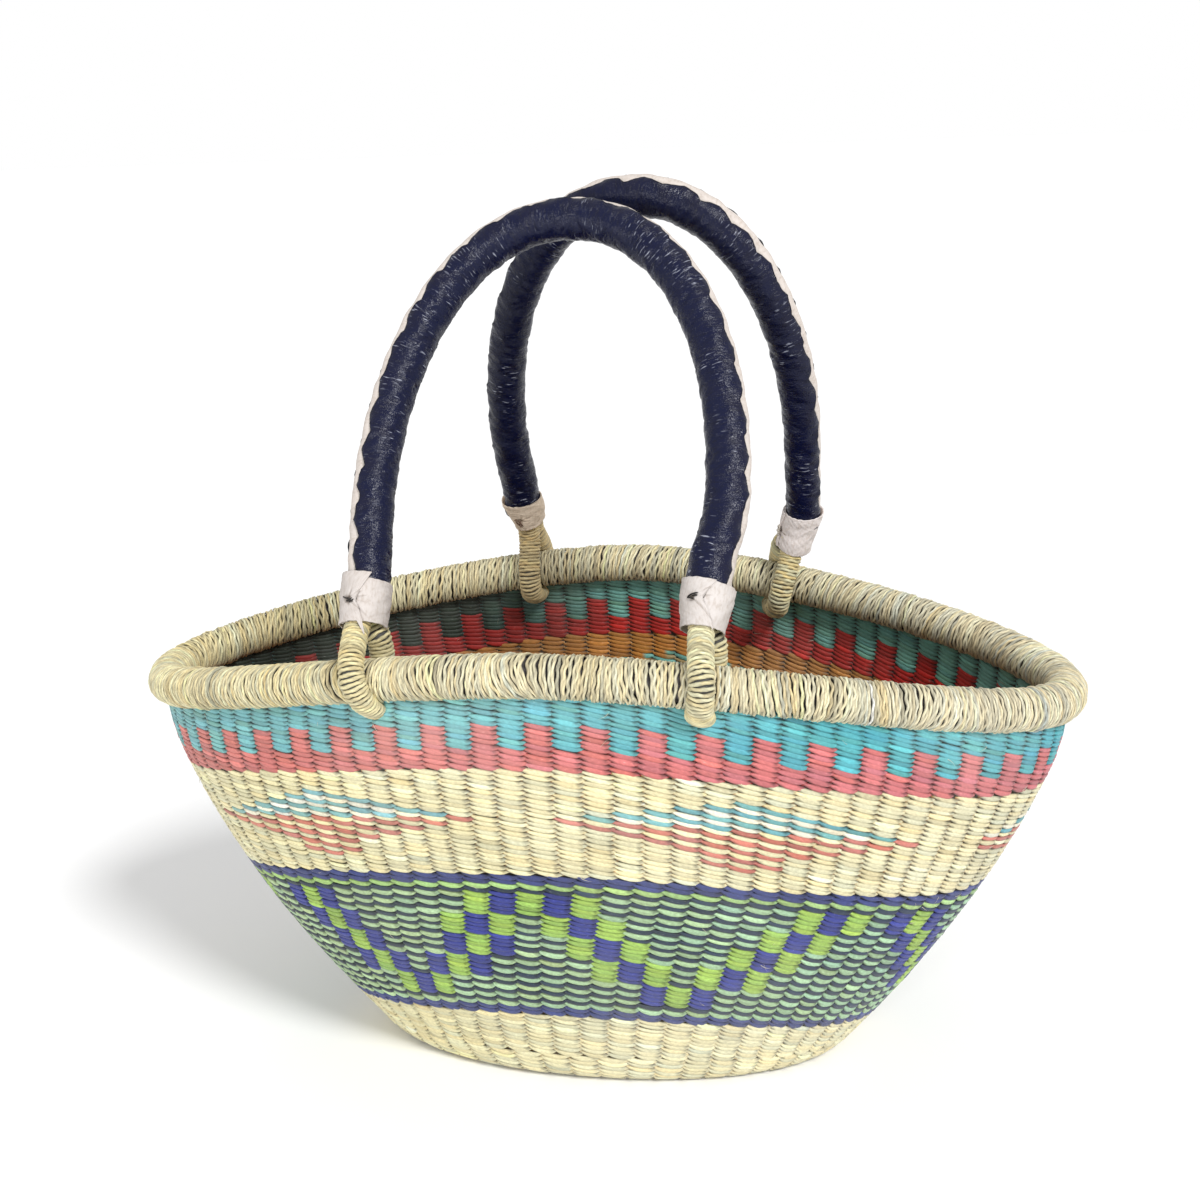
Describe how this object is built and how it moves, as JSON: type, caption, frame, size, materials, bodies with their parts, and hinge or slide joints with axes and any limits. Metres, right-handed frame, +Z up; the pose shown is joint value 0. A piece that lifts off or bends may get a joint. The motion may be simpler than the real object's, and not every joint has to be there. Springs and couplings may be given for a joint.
{
  "type": "straw tote bag",
  "caption": "Boat-shaped woven straw tote bag with a wrapped rim and a pair of arched leather-covered handles that swing on rope loops.",
  "frame": {"origin": "on the floor under the middle of the bag's bounding box", "axes": "+X from the left tip to the right tip, -Y to the fuller front side, +Z up"},
  "size_m": [0.4794, 0.2593, 0.4427],
  "materials": {
    "natural_straw": "twined natural straw, satin",
    "green_navy_straw": "twined straw dyed light green and dark navy",
    "coral_straw": "twined straw dyed coral",
    "turquoise_straw": "twined straw dyed turquoise",
    "grass_bundle": "bundle of plain grass stalks",
    "navy_leather": "creased glossy leather",
    "cream_leather": "matt soft leather",
    "dark_thread": "waxed thread"
  },
  "bodies": {
    "basket": {"base_weave": "natural_straw", "lower_natural_band": "natural_straw", "green_navy_band": "green_navy_straw", "lozenge_band": "natural_straw", "coral_band": "coral_straw", "turquoise_band": "turquoise_straw", "rim_core": "grass_bundle", "rim_wrap": "natural_straw"},
    "front_handle": {"front_handle_core": "grass_bundle", "front_handle_sleeve": "navy_leather", "front_handle_welt": "cream_leather", "front_left_loop": "natural_straw", "front_left_cuff": "cream_leather", "front_left_cuff_knot": "dark_thread", "front_right_loop": "natural_straw", "front_right_cuff": "cream_leather", "front_right_cuff_knot": "dark_thread"},
    "back_handle": {"back_handle_core": "grass_bundle", "back_handle_sleeve": "navy_leather", "back_handle_welt": "cream_leather", "back_left_loop": "natural_straw", "back_left_cuff": "cream_leather", "back_left_cuff_knot": "dark_thread", "back_right_loop": "natural_straw", "back_right_cuff": "cream_leather", "back_right_cuff_knot": "dark_thread"}
  },
  "joints": [
    {"name": "front_handle_swing", "type": "hinge", "parent": "basket", "child": "front_handle", "pos_m": [-0.007, -0.10568, 0.23091], "axis": [0.9996, -0.023, 0.0142], "range_deg": [-2.2, 121]},
    {"name": "back_handle_swing", "type": "hinge", "parent": "basket", "child": "back_handle", "pos_m": [0.0174, 0.10382, 0.22324], "axis": [-0.9984, 0.0493, 0.0277], "range_deg": [-2.2, 105]}
  ]
}
